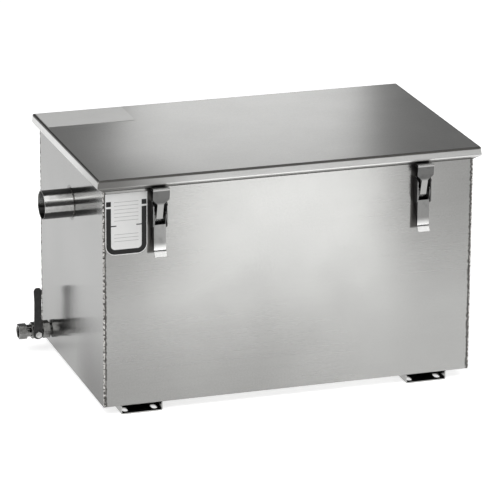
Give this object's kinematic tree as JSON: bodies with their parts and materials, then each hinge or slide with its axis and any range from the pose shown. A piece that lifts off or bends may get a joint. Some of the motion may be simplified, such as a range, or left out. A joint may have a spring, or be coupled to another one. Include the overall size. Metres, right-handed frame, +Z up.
{
  "type": "grease trap",
  "caption": "Box-shaped stainless grease trap with a folded lift-off lid, toggle latches, pipe stubs in the ends, channel feet and a drain ball valve.",
  "frame": {"origin": "on the floor, under the middle of the whole part's box", "axes": "+X from the inlet end to the outlet end, +Y from the label side to the back, +Z up"},
  "size_m": [0.77, 0.4486, 0.4219],
  "materials": {
    "sheet_steel": "brushed stainless sheet",
    "weld_steel": "brushed weld bead",
    "latch_steel": "rolled stainless strip",
    "valve_nickel": "dark nickel plate",
    "handle_steel": "dull grey coated steel strip",
    "gasket_rubber": "foam rubber",
    "valve_seat": "white plastic",
    "plate_film": "blank satin rating plate with a dark border",
    "sticker_film": "blank pale sticker"
  },
  "bodies": {
    "tank": {"tank_shell": "sheet_steel", "end_wall_left": "sheet_steel", "end_wall_right": "sheet_steel", "weld_front_left": "weld_steel", "weld_front_right": "weld_steel", "weld_back_left": "weld_steel", "weld_back_right": "weld_steel", "foot_left": "sheet_steel", "foot_right": "sheet_steel", "inlet_pipe": "sheet_steel", "inlet_weld": "weld_steel", "outlet_pipe": "sheet_steel", "outlet_weld": "weld_steel", "dip_pipe": "sheet_steel", "inlet_baffle": "sheet_steel", "outlet_baffle": "sheet_steel", "basket_rail_left": "sheet_steel", "basket_rail_right": "sheet_steel", "solids_basket": "sheet_steel", "drain_nipple": "valve_nickel", "valve_body": "valve_nickel", "valve_end": "valve_nickel", "seat_inner": "valve_seat", "seat_outer": "valve_seat", "gland_nut": "valve_nickel", "label_plate": "plate_film", "latch_base_front_left": "latch_steel", "latch_base_front_right": "latch_steel", "latch_base_back_left": "latch_steel", "latch_base_back_right": "latch_steel"},
    "lid": {"lid_shell": "sheet_steel", "lid_gasket": "gasket_rubber", "lid_label": "sticker_film", "latch_keeper_front_left": "latch_steel", "latch_keeper_front_right": "latch_steel", "latch_keeper_back_left": "latch_steel", "latch_keeper_back_right": "latch_steel"},
    "drain_handle": {"valve_ball": "latch_steel", "valve_stem": "latch_steel", "valve_handle": "handle_steel", "handle_nut": "latch_steel"},
    "lever_front_left": {"latch_lever_front_left": "latch_steel", "claw_pin_front_left": "latch_steel"},
    "claw_front_left": {"latch_claw_front_left": "latch_steel"},
    "lever_front_right": {"latch_lever_front_right": "latch_steel", "claw_pin_front_right": "latch_steel"},
    "claw_front_right": {"latch_claw_front_right": "latch_steel"},
    "lever_back_left": {"latch_lever_back_left": "latch_steel", "claw_pin_back_left": "latch_steel"},
    "claw_back_left": {"latch_claw_back_left": "latch_steel"},
    "lever_back_right": {"latch_lever_back_right": "latch_steel", "claw_pin_back_right": "latch_steel"},
    "claw_back_right": {"latch_claw_back_right": "latch_steel"}
  },
  "joints": [
    {"name": "lid_lift", "type": "slide", "parent": "tank", "child": "lid", "axis": [0, 0, 1], "range_m": [0, 0.25]},
    {"name": "drain_handle_turn", "type": "hinge", "parent": "tank", "child": "drain_handle", "pos_m": [-0.3545, 0.148, 0.0415], "axis": [0, -1, 0], "range_deg": [0, 90]},
    {"name": "lever_swing_front_left", "type": "hinge", "parent": "tank", "child": "lever_front_left", "pos_m": [-0.232, -0.212, 0.356], "axis": [-1, 0, 0], "range_deg": [0, 105]},
    {"name": "claw_swing_front_left", "type": "hinge", "parent": "lever_front_left", "child": "claw_front_left", "pos_m": [-0.232, -0.20892, 0.34754], "axis": [-1, 0, 0], "range_deg": [-105, 0]},
    {"name": "lever_swing_front_right", "type": "hinge", "parent": "tank", "child": "lever_front_right", "pos_m": [0.238, -0.212, 0.356], "axis": [-1, 0, 0], "range_deg": [0, 105]},
    {"name": "claw_swing_front_right", "type": "hinge", "parent": "lever_front_right", "child": "claw_front_right", "pos_m": [0.238, -0.20892, 0.34754], "axis": [-1, 0, 0], "range_deg": [-105, 0]},
    {"name": "lever_swing_back_left", "type": "hinge", "parent": "tank", "child": "lever_back_left", "pos_m": [-0.232, 0.212, 0.356], "axis": [1, 0, 0], "range_deg": [0, 105]},
    {"name": "claw_swing_back_left", "type": "hinge", "parent": "lever_back_left", "child": "claw_back_left", "pos_m": [-0.232, 0.20892, 0.34754], "axis": [1, 0, 0], "range_deg": [-105, 0]},
    {"name": "lever_swing_back_right", "type": "hinge", "parent": "tank", "child": "lever_back_right", "pos_m": [0.238, 0.212, 0.356], "axis": [1, 0, 0], "range_deg": [0, 105]},
    {"name": "claw_swing_back_right", "type": "hinge", "parent": "lever_back_right", "child": "claw_back_right", "pos_m": [0.238, 0.20892, 0.34754], "axis": [1, 0, 0], "range_deg": [-105, 0]}
  ],
  "couplings": [
    {"joint": "claw_swing_front_left", "follows": "lever_swing_front_left", "ratio": -1},
    {"joint": "claw_swing_front_right", "follows": "lever_swing_front_right", "ratio": -1},
    {"joint": "claw_swing_back_left", "follows": "lever_swing_back_left", "ratio": -1},
    {"joint": "claw_swing_back_right", "follows": "lever_swing_back_right", "ratio": -1}
  ]
}
